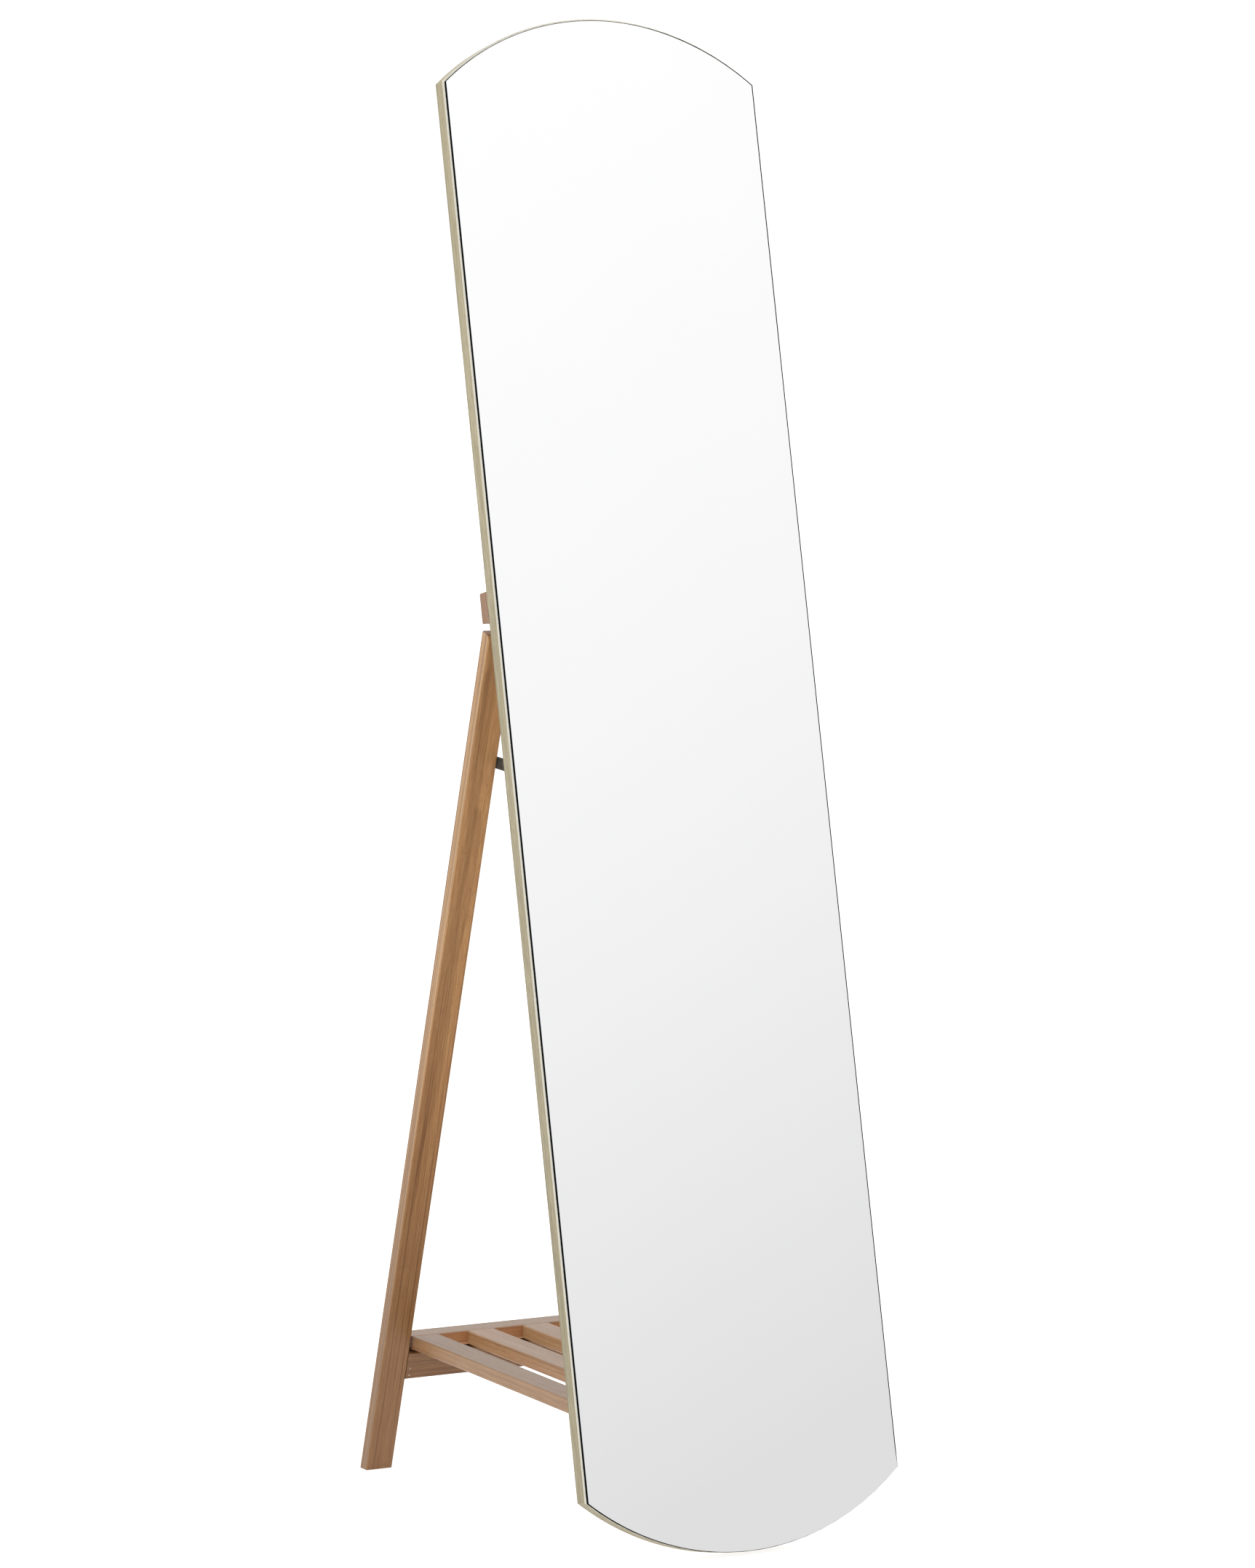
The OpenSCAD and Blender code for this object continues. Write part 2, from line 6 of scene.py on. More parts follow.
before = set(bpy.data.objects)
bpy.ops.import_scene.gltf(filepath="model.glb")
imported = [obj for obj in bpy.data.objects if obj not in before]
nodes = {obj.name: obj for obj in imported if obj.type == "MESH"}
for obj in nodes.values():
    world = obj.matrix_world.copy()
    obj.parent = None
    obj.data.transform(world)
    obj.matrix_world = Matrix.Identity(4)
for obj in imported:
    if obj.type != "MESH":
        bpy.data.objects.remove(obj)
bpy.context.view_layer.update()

# ---------------------------------------------------------------- the object's geometry
MM = 1000.0                     # object coordinates are metres, textures work in millimetres
LEAN = math.radians(12.6)       # panel leans back
TILT = math.radians(17.7)       # legs lean the other way
Y_MID = 259.8626                # the object's middle lies this far behind the panel's lowest edge
PANEL_W = 350.0
PANEL_T = 18.5                  # whole thickness of the mirror panel
ARC_RISE = 65.0                 # rise of the arc at either end of the panel
ARC_R = (PANEL_W ** 2 / 4 + ARC_RISE ** 2) / (2 * ARC_RISE)
STRAIGHT_H = 1395.0             # length of the panel's straight sides
GLASS_T = 3.0
GLASS_LIP = 2.0                 # margin of board beside and above the glass
GLASS_HALF = PANEL_W / 2 - GLASS_LIP
GLASS_R = ARC_R - GLASS_LIP
GROUND_RIM = 0.60               # ground arris round the front of the glass
RIM_SHADE_EXTRA = 0.55                # painted shade: how much wider the dark rim is drawn on the right
RIM_SHADE_LOST = 0.42                 # how much of that painted shade is taken off, leaving it narrower, on the right of the bottom arc

PANEL_UP = Vector((0, math.sin(LEAN), math.cos(LEAN)))
PANEL_BACK = Vector((0, math.cos(LEAN), -math.sin(LEAN)))
PANEL_ORIGIN = Vector((0, -Y_MID, PANEL_T * math.sin(LEAN)))
LEG_UP = Vector((0, -math.sin(TILT), math.cos(TILT)))
LEG_BACK = Vector((0, math.cos(TILT), math.sin(TILT)))
X, Y, Z = Vector((1, 0, 0)), Vector((0, 1, 0)), Vector((0, 0, 1))


# ---------------------------------------------------------------- colours
def linear(r, g, b):
    """A screen colour, 0 to 255, as a linear one."""
    def one(c):
        c /= 255.0
        return c / 12.92 if c <= 0.04045 else ((c + 0.055) / 1.055) ** 2.4
    return (one(r), one(g), one(b), 1.0)


# ---------------------------------------------------------------- node building
class Tree:
    """Short calls for building a material's nodes."""

    def __init__(self, name):
        self.material = bpy.data.materials.new(name)
        self.material.use_nodes = True
        self.nodes = self.material.node_tree.nodes
        self.links = self.material.node_tree.links
        self.nodes.clear()
        out = self.nodes.new("ShaderNodeOutputMaterial")
        self.shader = self.nodes.new("ShaderNodeBsdfPrincipled")
        self.link(self.shader.outputs["BSDF"], out.inputs["Surface"])
        place = self.nodes.new("ShaderNodeTexCoord")
        self.coords = place.outputs["Object"]
        self.facing = place.outputs["Normal"]

    def link(self, a, b):
        self.links.new(a, b)

    def put(self, socket, value):
        """Links or sets a socket. None leaves it as it is."""
        if isinstance(value, bpy.types.NodeSocket):
            self.link(value, socket)
        elif value is not None:
            socket.default_value = value

    def math(self, op, a, b=None, c=None, clamp=False):
        n = self.nodes.new("ShaderNodeMath")
        n.operation = op
        n.use_clamp = clamp
        for socket, value in zip(n.inputs, (a, b, c)):
            self.put(socket, value)
        return n.outputs[0]

    def dot(self, vector, axis):
        n = self.nodes.new("ShaderNodeVectorMath")
        n.operation = "DOT_PRODUCT"
        self.put(n.inputs[0], vector)
        n.inputs[1].default_value = tuple(axis)
        return n.outputs["Value"]

    def combine(self, x, y, z):
        n = self.nodes.new("ShaderNodeCombineXYZ")
        for socket, value in zip(n.inputs, (x, y, z)):
            self.put(socket, value)
        return n.outputs[0]

    def scaled(self, point, factors):
        """A vector from a point's three parts, each multiplied by its factor."""
        return self.combine(*(self.math("MULTIPLY", p, f) for p, f in zip(point, factors)))

    def noise(self, vector, scale=1.0, detail=3.0, rough=0.55, distortion=0.0):
        n = self.nodes.new("ShaderNodeTexNoise")
        self.put(n.inputs["Vector"], vector)
        n.inputs["Scale"].default_value = scale
        n.inputs["Detail"].default_value = detail
        n.inputs["Roughness"].default_value = rough
        n.inputs["Distortion"].default_value = distortion
        return n.outputs["Fac"]

    def cells(self, vector, scale=1.0):
        n = self.nodes.new("ShaderNodeTexVoronoi")
        self.put(n.inputs["Vector"], vector)
        n.inputs["Scale"].default_value = scale
        return n.outputs["Distance"]

    def spread(self, value, low, high, to_low=0.0, to_high=1.0):
        """Eases smoothly from to_low to to_high as the value goes from low to high."""
        n = self.nodes.new("ShaderNodeMapRange")
        n.interpolation_type = "SMOOTHSTEP"
        self.put(n.inputs["Value"], value)
        limits = {"From Min": low, "From Max": high, "To Min": to_low, "To Max": to_high}
        for key, limit in limits.items():
            n.inputs[key].default_value = limit
        return n.outputs["Result"]

    def mix(self, factor, a, b):
        n = self.nodes.new("ShaderNodeMix")
        n.data_type = "RGBA"
        self.put(n.inputs[0], factor)
        self.put(n.inputs[6], a)
        self.put(n.inputs[7], b)
        return n.outputs[2]

    def bump(self, height, strength, distance):
        n = self.nodes.new("ShaderNodeBump")
        n.inputs["Strength"].default_value = strength
        n.inputs["Distance"].default_value = distance
        self.put(n.inputs["Height"], height)
        return n.outputs["Normal"]

    def axes(self, across, depth, along, shift=(0.0, 0.0, 0.0), origin=(0.0, 0.0, 0.0)):
        """The point in millimetres along three directions, from an origin in millimetres."""
        out = []
        for axis, s in zip((across, depth, along), shift):
            offset = s - Vector(axis).dot(Vector(origin))
            out.append(self.math("ADD", self.dot(self.coords, Vector(axis) * MM), offset))
        return out


# ---------------------------------------------------------------- wood
# light to dark are the timber's own shades, tint its warm patches, low the painted shade at a leg's
# foot and the sheen colour the painted sheen on its paler, greyer faces; streak scales how strongly
# its lines show
ACACIA_LEG = dict(
    light=linear(204, 158, 108), mid=linear(178, 130, 82), dark=linear(94, 56, 25),
    tint=linear(158, 98, 57), pore=linear(60, 35, 20), streak=1.1, rough=0.44,
    low=linear(98, 60, 22), painted_sheen_colour=linear(200, 161, 109), painted_sheen_part=0.68)
ACACIA_SHELF = dict(
    light=linear(190, 152, 112), mid=linear(170, 129, 88), dark=linear(120, 82, 50),
    tint=linear(160, 108, 72), pore=linear(92, 62, 40), streak=1.05, rough=0.42,
    painted_sheen_colour=linear(144, 128, 115), painted_sheen_part=0.66)
ACACIA_BATTEN = dict(
    light=linear(184, 148, 114), mid=linear(160, 122, 88), dark=linear(112, 76, 50),
    tint=linear(154, 100, 72), pore=linear(84, 54, 36), streak=1.0, rough=0.48,
    painted_sheen_colour=linear(170, 138, 112), painted_sheen_part=0.4)
# the lower rail's timber is darkened as painted shade, for its place under the shelf
ACACIA_LOWER_SHADED = dict(
    light=linear(148, 108, 70), mid=linear(124, 86, 48), dark=linear(78, 48, 24),
    tint=linear(124, 74, 44), pore=linear(60, 38, 24), streak=1.2, rough=0.5,
    painted_sheen_colour=linear(124, 86, 48), painted_sheen_part=0.0)
# the shelf's rear rail is darkened as painted shade where it shows between the slats
ACACIA_REAR_SHADED = dict(
    light=linear(184, 130, 84), mid=linear(158, 106, 63), dark=linear(108, 66, 37),
    tint=linear(150, 92, 54), pore=linear(80, 50, 30), streak=0.8, rough=0.42,
    painted_sheen_colour=linear(140, 126, 108), painted_sheen_part=0.80)
BEECH = dict(
    light=linear(208, 178, 138), mid=linear(196, 162, 120), dark=linear(168, 132, 92),
    tint=linear(196, 150, 108), pore=linear(140, 106, 72), streak=0.4, rough=0.6,
    painted_sheen_colour=linear(196, 162, 120), painted_sheen_part=0.0)


def stain(palette, strength):
    """The same timber with every colour multiplied by a strength."""
    out = dict(palette)
    for key, value in palette.items():
        if isinstance(value, tuple):
            out[key] = tuple(c * strength for c in value[:3]) + (1.0,)
    return out


# how far each feature takes the timber towards its dark shade
EVEN_DARK = 0.185               # all over
LATE_DARK = 0.18                # late wood of each ring
STREAK_DARK = 0.06
LINE_DARK = 0.30
LEG_LINE_DARK = 0.20            # a leg's lines are fainter at its top
BAND_DARK = 0.09
STRIPE_DARK = 0.72              # stripes on a leg's narrow faces
FINE_DARK = 0.34                # finest fibres
WARM_PART = 0.26                # how far warm patches go towards the tint
FOOT_SHADE_PART = 0.62                 # how far a leg's foot goes towards its painted shade colour


def wood(name, across, depth, along, palette, shift, pith=(34.0, 61.0), ring=3.4,
         sheen_side=None, foot=None):
    """Solid wood: growth rings round a pith beside the piece, so faces and ends agree.

    Faces square to the side given get a painted sheen, paler and greyer. A leg gets a painted shade,
    darker below the height foot, in millimetres.
    """
    t = Tree(name)
    a, d, l = t.axes(across, depth, along, shift)

    # slow waver of the grain along the piece
    slow = t.scaled((a, d, l), (0.022, 0.022, 0.0019))
    waver = t.math("MULTIPLY_ADD", t.noise(slow, 1.0, 2.0, 0.5), 16.0, -8.0)

    # distance from the pith, wavered, gives the ring number
    pa = t.math("ADD", a, pith[0])
    pd = t.math("ADD", d, pith[1])
    square_sum = t.math("ADD", t.math("MULTIPLY", pa, pa), t.math("MULTIPLY", pd, pd))
    radius = t.math("ADD", t.math("SQRT", square_sum), waver)
    # rings of uneven width: the radius itself is read through a noise
    uneven = t.noise(t.combine(t.math("MULTIPLY", radius, 0.11), 0.0, 0.0), 1.0, 2.0, 0.5)
    phase = t.math("MULTIPLY_ADD", uneven, 2.6, t.math("DIVIDE", radius, ring))
    saw = t.math("FRACT", phase)
    late = t.math("MULTIPLY", t.spread(saw, 0.25, 0.93), t.spread(saw, 1.0, 0.94))
    ring_v = t.combine(t.math("MULTIPLY", radius, 0.19), t.math("MULTIPLY", l, 0.0012), 4.2)
    late = t.math("MULTIPLY", late, t.spread(t.noise(ring_v, 1.0, 1.0), 0.35, 0.68))

    # broad brown streaks that follow the rings
    streak_v = t.scaled((radius, a, l), (0.16, 0.02, 0.0009))
    streaks = t.spread(t.noise(streak_v, 1.0, 3.0, 0.62), 0.44, 0.64)

    # long thin dark lines that run nearly the whole piece
    line_v = t.scaled((a, d, l), (0.46, 0.46, 0.0022))
    lines = t.spread(t.noise(line_v, 1.0, 3.0, 0.6, 0.2), 0.53, 0.60)
    # broader bands, a few millimetres wide
    band_v = t.scaled((a, d, l), (0.26, 0.26, 0.0016))
    bands = t.spread(t.noise(band_v, 1.0, 2.0, 0.5, 0.1), 0.52, 0.60)

    # fibre: very long, very thin
    fibre = t.noise(t.scaled((a, d, l), (1.5, 1.5, 0.030)), 1.0, 5.0, 0.68)
    fine = t.noise(t.scaled((a, d, l), (4.2, 4.2, 0.11)), 1.0, 3.0, 0.6)

    # pores: short dark dashes along the grain
    pore_v = t.scaled((a, d, l), (1.15, 1.15, 0.085))
    pore = t.spread(t.cells(pore_v, 1.0), 0.20, 0.08)
    pore = t.math("MULTIPLY", pore, t.spread(t.noise(pore_v, 0.35, 1.0), 0.45, 0.62))

    k = palette["streak"]
    dark = t.math("MULTIPLY_ADD", late, LATE_DARK * k, EVEN_DARK * k)
    dark = t.math("MULTIPLY_ADD", streaks, STREAK_DARK * k, dark)
    line_dark = LINE_DARK * k
    if foot is not None:
        # painted shade: this mask rises towards the floor below the foot height; it also strengthens
        # the lines
        low = t.spread(t.dot(t.coords, Vector(along) * MM), foot, 0.0)
        line_dark = t.math("MULTIPLY_ADD", low, LINE_DARK * k, LEG_LINE_DARK * k)
    dark = t.math("MULTIPLY_ADD", lines, line_dark, dark)
    dark = t.math("MULTIPLY_ADD", bands, BAND_DARK * k, dark, clamp=True)

    base = t.mix(t.spread(fibre, 0.36, 0.64), palette["mid"], palette["light"])
    # painted sheen: faces square to the given side are mixed towards the sheen colour, paler and
    # greyer, and their dark marks are weakened
    if sheen_side is not None:
        square = t.math("ABSOLUTE", t.dot(t.facing, sheen_side))
        pale = t.math("MULTIPLY", t.spread(square, 0.55, 0.95), palette["painted_sheen_part"])
        base = t.mix(pale, base, palette["painted_sheen_colour"])
        dark = t.math("MULTIPLY", dark, t.math("MULTIPLY_ADD", pale, -0.2, 1.0))
        if foot is not None:
            # a leg's narrow faces are cut square across the rings and show them as long stripes
            stripe_v = t.combine(0.0, t.math("MULTIPLY", d, 0.42), t.math("MULTIPLY", l, 0.0007))
            stripes = t.spread(t.noise(stripe_v, 1.0, 3.0, 0.6), 0.50, 0.60)
            stripes = t.math("MULTIPLY", stripes, pale)
            dark = t.math("MULTIPLY_ADD", stripes, STRIPE_DARK, dark, clamp=True)
    # cut ends are darker all over, with the rings standing out
    end = t.spread(t.math("ABSOLUTE", t.dot(t.facing, along)), 0.6, 0.9)
    rings = t.math("MULTIPLY_ADD", t.spread(saw, 0.35, 0.95), 0.58, 0.38)
    dark = t.math("MULTIPLY_ADD", t.math("SUBTRACT", rings, dark), end, dark, clamp=True)
    base = t.mix(dark, base, palette["dark"])
    ring_line = t.math("MULTIPLY", t.spread(saw, 0.62, 0.95), end)
    base = t.mix(t.math("MULTIPLY", ring_line, 0.6), base, palette["pore"])
    warm = t.noise(t.scaled((a, d, l), (0.035, 0.035, 0.0032)), 1.0, 2.0, 0.5)
    base = t.mix(t.spread(warm, 0.46, 0.75, 0.0, WARM_PART), base, palette["tint"])
    base = t.mix(t.spread(fine, 0.42, 0.72, 0.0, FINE_DARK), base, palette["dark"])
    base = t.mix(t.math("MULTIPLY", pore, 0.8), base, palette["pore"])
    if foot is not None:
        # painted shade: the leg's foot is mixed towards the low colour
        base = t.mix(t.math("MULTIPLY", low, FOOT_SHADE_PART), base, palette["low"])
    t.link(base, t.shader.inputs["Base Color"])

    rough = t.spread(fibre, 0.25, 0.75, palette["rough"] + 0.07, palette["rough"] - 0.06)
    rough = t.math("ADD", rough, t.math("MULTIPLY", pore, 0.2))
    t.link(rough, t.shader.inputs["Roughness"])
    relief = t.math("MULTIPLY_ADD", fine, 0.35, fibre)
    relief = t.math("SUBTRACT", relief, t.math("MULTIPLY", pore, 0.9))
    relief = t.math("MULTIPLY_ADD", late, 0.35, relief)
    t.link(t.bump(relief, 0.42, 0.00022), t.shader.inputs["Normal"])
    t.shader.inputs["Specular IOR Level"].default_value = 0.42
    t.shader.inputs["Coat Weight"].default_value = 0.08
    t.shader.inputs["Coat Roughness"].default_value = 0.35
    return t.material


# ---------------------------------------------------------------- edge veneer
VENEER_LIGHT = linear(178, 168, 139)
VENEER_MID = linear(147, 137, 109)
VENEER_DARK = linear(92, 81, 56)
VENEER_GOLD = linear(156, 143, 108)
FOIL = linear(249, 244, 224)


def veneer(name, run):
    """Thin pale oak edging. run(tree) gives its depth and length in millimetres and its seed."""
    t = Tree(name)
    w, l, seed = run(t)

    def grid(across, along):
        return t.combine(t.math("MULTIPLY", w, across), seed, t.math("MULTIPLY", l, along))

    grain = t.noise(grid(0.85, 0.013), 1.0, 4.0, 0.62, 0.4)
    fine = t.noise(grid(3.4, 0.07), 1.0, 4.0, 0.65)
    figure = t.noise(grid(0.16, 0.0045), 1.0, 2.0, 0.5)
    dash = t.spread(t.cells(grid(1.7, 0.10)), 0.22, 0.06)
    base = t.mix(t.spread(grain, 0.38, 0.60), VENEER_MID, VENEER_LIGHT)
    base = t.mix(t.spread(fine, 0.44, 0.70, 0.0, 0.72), base, VENEER_DARK)
    base = t.mix(t.spread(figure, 0.40, 0.68, 0.0, 0.35), base, VENEER_GOLD)
    base = t.mix(t.math("MULTIPLY", dash, 0.45), base, VENEER_DARK)
    # darker towards the floor
    height = t.dot(t.coords, PANEL_UP * MM)
    base = t.mix(t.spread(height, 1100.0, 0.0, 0.0, 0.22), base, VENEER_DARK)
    # painted shade: the rear arris is darkened into a thin dark edge line
    base = t.mix(t.spread(w, PANEL_T - 2.6, PANEL_T - 0.4, 0.0, 0.42), base, VENEER_DARK)
    # its front edge is finished like the board's face
    front = t.spread(t.dot(t.facing, -PANEL_BACK), 0.35, 0.75, 0.0, 0.96)
    base = t.mix(front, base, FOIL)
    t.link(base, t.shader.inputs["Base Color"])
    t.link(t.spread(fine, 0.2, 0.8, 0.44, 0.58), t.shader.inputs["Roughness"])
    relief = t.math("SUBTRACT", fine, t.math("MULTIPLY", dash, 0.6))
    t.link(t.bump(relief, 0.35, 0.00012), t.shader.inputs["Normal"])
    t.shader.inputs["Specular IOR Level"].default_value = 0.4
    return t.material


def panel_point(t):
    """Millimetres across the panel from its middle, back from its face and up from its foot."""
    return t.axes(X, PANEL_BACK, PANEL_UP, origin=PANEL_ORIGIN)


def straight_run(seed):
    """For veneer(): length measured up the panel."""
    def run(t):
        return *panel_point(t)[1:], seed
    return run


def arc_run(seed, centre_v, sign):
    """For veneer(): length measured round the arc, so the grain bends with the strip."""
    def run(t):
        a, w, v = panel_point(t)
        rise = t.math("MULTIPLY_ADD", v, sign, -sign * centre_v)
        angle = t.math("ARCTAN2", a, rise)
        return w, t.math("MULTIPLY", angle, ARC_R), seed
    return run


# ---------------------------------------------------------------- board, mirror, tape
def melamine():
    """Board with a smooth matt foil: cream in front, grey-beige behind, with a faint fleck."""
    t = Tree("board_cream")
    point = panel_point(t)
    p = t.combine(*point)
    fleck = t.noise(p, 0.9, 3.0, 0.6)
    cloud = t.noise(p, 0.012, 2.0, 0.5)
    fibre = t.noise(t.scaled(point, (0.6, 1.0, 0.05)), 1.0, 3.0, 0.6)
    base = t.mix(t.spread(cloud, 0.3, 0.7), linear(253, 249, 236), linear(255, 252, 243))
    base = t.mix(t.spread(fleck, 0.52, 0.74, 0.0, 0.22), base, linear(224, 213, 188))
    base = t.mix(t.spread(fibre, 0.5, 0.8, 0.0, 0.15), base, linear(214, 203, 178))
    rear = t.mix(t.spread(cloud, 0.3, 0.7), linear(205, 194, 172), linear(214, 204, 184))
    rear = t.mix(t.spread(fleck, 0.50, 0.74, 0.0, 0.35), rear, linear(186, 172, 146))
    rear = t.mix(t.spread(fibre, 0.48, 0.75, 0.0, 0.25), rear, linear(176, 162, 138))
    base = t.mix(t.spread(t.dot(t.facing, PANEL_BACK), 0.4, 0.8), base, rear)
    t.link(base, t.shader.inputs["Base Color"])
    t.link(t.spread(cloud, 0.3, 0.7, 0.46, 0.58), t.shader.inputs["Roughness"])
    t.link(t.bump(t.math("MULTIPLY_ADD", fibre, 0.6, fleck), 0.18, 0.00012), t.shader.inputs["Normal"])
    t.shader.inputs["Specular IOR Level"].default_value = 0.4
    return t.material


def mirror():
    """Silvered face, ground dark edge and grey-painted back, told apart by depth in the glass."""
    t = Tree("mirror_silvered")
    a, w, v = panel_point(t)
    haze = t.noise(t.combine(a, w, v), 0.006, 3.0, 0.5)
    # distance inside the glass outline, for the thin ground rim
    rise = t.math("MAXIMUM", t.math("ADD", v, ARC_R - STRAIGHT_H - 2 * ARC_RISE), 0.0)
    drop = t.math("MAXIMUM", t.math("SUBTRACT", GLASS_R, v), 0.0)
    round_top = t.math("SQRT", t.math("MULTIPLY_ADD", a, a, t.math("MULTIPLY", rise, rise)))
    round_bottom = t.math("SQRT", t.math("MULTIPLY_ADD", a, a, t.math("MULTIPLY", drop, drop)))
    reach = t.math("MAXIMUM", t.math("SUBTRACT", t.math("ABSOLUTE", a), GLASS_HALF),
                   t.math("SUBTRACT", t.math("MAXIMUM", round_top, round_bottom), GLASS_R))
    # the ground rim is the glass's own dark arris; as painted shade it is drawn wider up the right
    # side and on the right of the top arc, and thin below them
    right = t.spread(a, 10.0, 110.0)
    below = t.spread(v, ARC_RISE + 20.0, ARC_RISE - 5.0)
    shade_width = t.math("MULTIPLY_ADD", below, -RIM_SHADE_EXTRA - RIM_SHADE_LOST, RIM_SHADE_EXTRA)
    width = t.math("MULTIPLY_ADD", right, shade_width, GROUND_RIM)
    rim = t.spread(t.math("ADD", reach, width), -0.05, 0.05)
    edge = t.math("MAXIMUM", t.spread(w, 0.02, 0.10), rim)
    back = t.spread(w, GLASS_T - 0.25, GLASS_T - 0.05)
    grind = t.noise(t.scaled((a, w, v), (0.4, 5.0, 0.4)), 1.0, 3.0, 0.6)
    silver = t.mix(haze, (0.957, 0.959, 0.959, 1), (0.970, 0.971, 0.971, 1))
    ground = t.mix(grind, linear(3, 4, 4), linear(20, 24, 22))
    base = t.mix(edge, silver, ground)
    base = t.mix(back, base, linear(58, 58, 60))
    t.link(base, t.shader.inputs["Base Color"])
    t.link(t.math("SUBTRACT", 1.0, edge), t.shader.inputs["Metallic"])
    smooth = t.spread(haze, 0.3, 0.7, 0.004, 0.016)
    t.link(t.math("MULTIPLY_ADD", edge, 0.34, smooth), t.shader.inputs["Roughness"])
    t.link(t.bump(t.math("MULTIPLY", grind, edge), 0.25, 0.0002), t.shader.inputs["Normal"])
    t.shader.inputs["Specular IOR Level"].default_value = 0.0
    return t.material


def foam_tape():
    """Grey foam with open cells."""
    t = Tree("foam_tape")
    cell = t.noise(t.combine(*panel_point(t)), 2.2, 4.0, 0.65)
    t.link(t.mix(cell, linear(118, 117, 112), linear(160, 158, 150)), t.shader.inputs["Base Color"])
    t.link(t.spread(cell, 0.3, 0.7, 0.72, 0.9), t.shader.inputs["Roughness"])
    t.link(t.bump(cell, 0.4, 0.0002), t.shader.inputs["Normal"])
    return t.material


# ---------------------------------------------------------------- metals
def zinc(name, light, dark, stretch=0.10, rough=0.34):
    """Zinc-plated steel: rolled along X, with spangle, fine scratches and dull patches."""
    t = Tree(name)
    point = t.axes(X, Y, Z)
    p = t.combine(*point)
    brushed = t.noise(t.scaled(point, (stretch, 3.0, 3.0)), 1.0, 4.0, 0.65)
    spangle = t.cells(p, 0.55)
    dull = t.noise(p, 0.16, 3.0, 0.6)
    scratch = t.noise(t.scaled(point, (0.35, 5.0, 5.0)), 1.0, 2.0, 0.5, 1.2)
    scratch = t.spread(scratch, 0.62, 0.70)
    base = t.mix(t.spread(brushed, 0.3, 0.7), dark, light)
    base = t.mix(t.spread(spangle, 0.1, 0.6, 0.0, 0.25), base, light)
    base = t.mix(t.spread(dull, 0.45, 0.75, 0.0, 0.5), base, dark)
    t.link(base, t.shader.inputs["Base Color"])
    t.shader.inputs["Metallic"].default_value = 1.0
    matt = t.spread(dull, 0.35, 0.7, rough - 0.05, rough + 0.16)
    t.link(t.math("ADD", matt, t.math("MULTIPLY", scratch, 0.12)), t.shader.inputs["Roughness"])
    relief = t.math("SUBTRACT", brushed, t.math("MULTIPLY", scratch, 0.7))
    t.link(t.bump(relief, 0.22, 0.00008), t.shader.inputs["Normal"])
    return t.material


def black_steel():
    """Satin black powder coat with orange peel and slightly rubbed patches."""
    t = Tree("black_powder_coat")
    p = t.combine(*t.axes(X, Y, Z))
    peel = t.noise(p, 1.7, 3.0, 0.55)
    rub = t.noise(p, 0.13, 4.0, 0.6)
    base = t.mix(t.spread(rub, 0.42, 0.72), linear(68, 67, 64), linear(94, 92, 87))
    base = t.mix(t.spread(peel, 0.40, 0.75, 0.0, 0.3), base, linear(44, 42, 38))
    t.link(base, t.shader.inputs["Base Color"])
    t.link(t.spread(rub, 0.35, 0.75, 0.50, 0.36), t.shader.inputs["Roughness"])
    t.link(t.bump(peel, 0.30, 0.00015), t.shader.inputs["Normal"])
    t.shader.inputs["Specular IOR Level"].default_value = 0.5
    return t.material


def dress(name, material):
    slots = nodes[name].data.materials
    if slots:
        for i in range(len(slots)):
            slots[i] = material
    else:
        slots.append(material)


ARRIS = 0.00045                 # metres
WELD_GAP = 0.00001


def soften(name):
    """Rounds a piece's arrises a little, as sanding does."""
    ob = nodes[name]
    weld = ob.modifiers.new("weld", "WELD")
    weld.merge_threshold = WELD_GAP
    bevel = ob.modifiers.new("arris", "BEVEL")
    bevel.width = ARRIS
    bevel.segments = 2
    bevel.limit_method = "ANGLE"
    bevel.angle_limit = math.radians(28)
    bevel.use_clamp_overlap = True


LEG_AXES = (X, LEG_BACK, LEG_UP)
FRAME_CROSS = (LEG_UP, LEG_BACK, X)
LEG_SHADE_HEIGHT = 500.0              # painted shade darkens the legs below this height

dress("left_leg", wood("acacia_left_leg", *LEG_AXES, ACACIA_LEG,
                       (160.0, 12.0, 40.0), (44.0, 70.0), 3.7, X, LEG_SHADE_HEIGHT))
dress("right_leg", wood("acacia_right_leg", *LEG_AXES, ACACIA_LEG,
                        (-160.0, 90.0, 2300.0), (38.0, 52.0), 3.2, X, LEG_SHADE_HEIGHT))
dress("top_rail", wood("acacia_top_rail", *FRAME_CROSS, ACACIA_LEG,
                       (-850.0, 31.0, 930.0), (30.0, 58.0), 3.5))
dress("lower_rail", wood("acacia_lower_rail", *FRAME_CROSS, ACACIA_LOWER_SHADED,
                         (-60.0, -180.0, 4400.0), (48.0, 47.0), 3.3))
dress("rear_batten", wood("acacia_batten", PANEL_UP, PANEL_BACK, X, ACACIA_BATTEN,
                          (-880.0, -10.0, 1700.0), (24.0, 40.0), 3.0))
dress("shelf_rear_rail", wood("acacia_shelf_rear", Y, Z, X, ACACIA_REAR_SHADED,
                              (-215.0, -120.0, 800.0), (36.0, 64.0), 3.6, Z))
dress("shelf_front_rail", wood("acacia_shelf_front", Y, Z, X, ACACIA_SHELF,
                               (190.0, -90.0, 2600.0), (31.0, 57.0), 3.4, Z))

